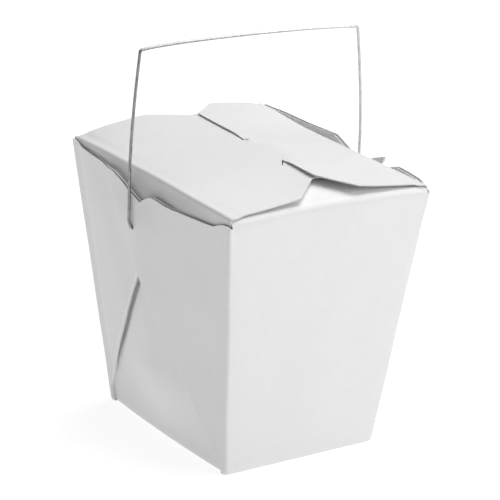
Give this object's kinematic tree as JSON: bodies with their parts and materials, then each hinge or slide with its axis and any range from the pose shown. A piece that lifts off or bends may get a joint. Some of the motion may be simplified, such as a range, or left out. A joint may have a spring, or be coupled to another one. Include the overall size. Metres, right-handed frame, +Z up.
{
  "type": "takeaway food pail",
  "caption": "Shut white paperboard takeaway noodle box with folded side webs, interlocked top flaps and a swinging wire bail.",
  "frame": {"origin": "centre of the base, on the surface it stands on", "axes": "+Z up, +X across the front face and along the bail's hinge axis, -Y out of the front face"},
  "size_m": [0.1005, 0.1082, 0.15],
  "materials": {
    "white_board": "smooth white coated board, satin",
    "wire": "drawn galvanised wire"
  },
  "bodies": {
    "carton": {"carton": "white_board"},
    "bail": {"wire_bail": "wire"}
  },
  "joints": [
    {"name": "bail_swing", "type": "hinge", "parent": "carton", "child": "bail", "pos_m": [0, 0, 0.084], "axis": [1, 0, 0], "range_deg": [-130, 130]}
  ]
}
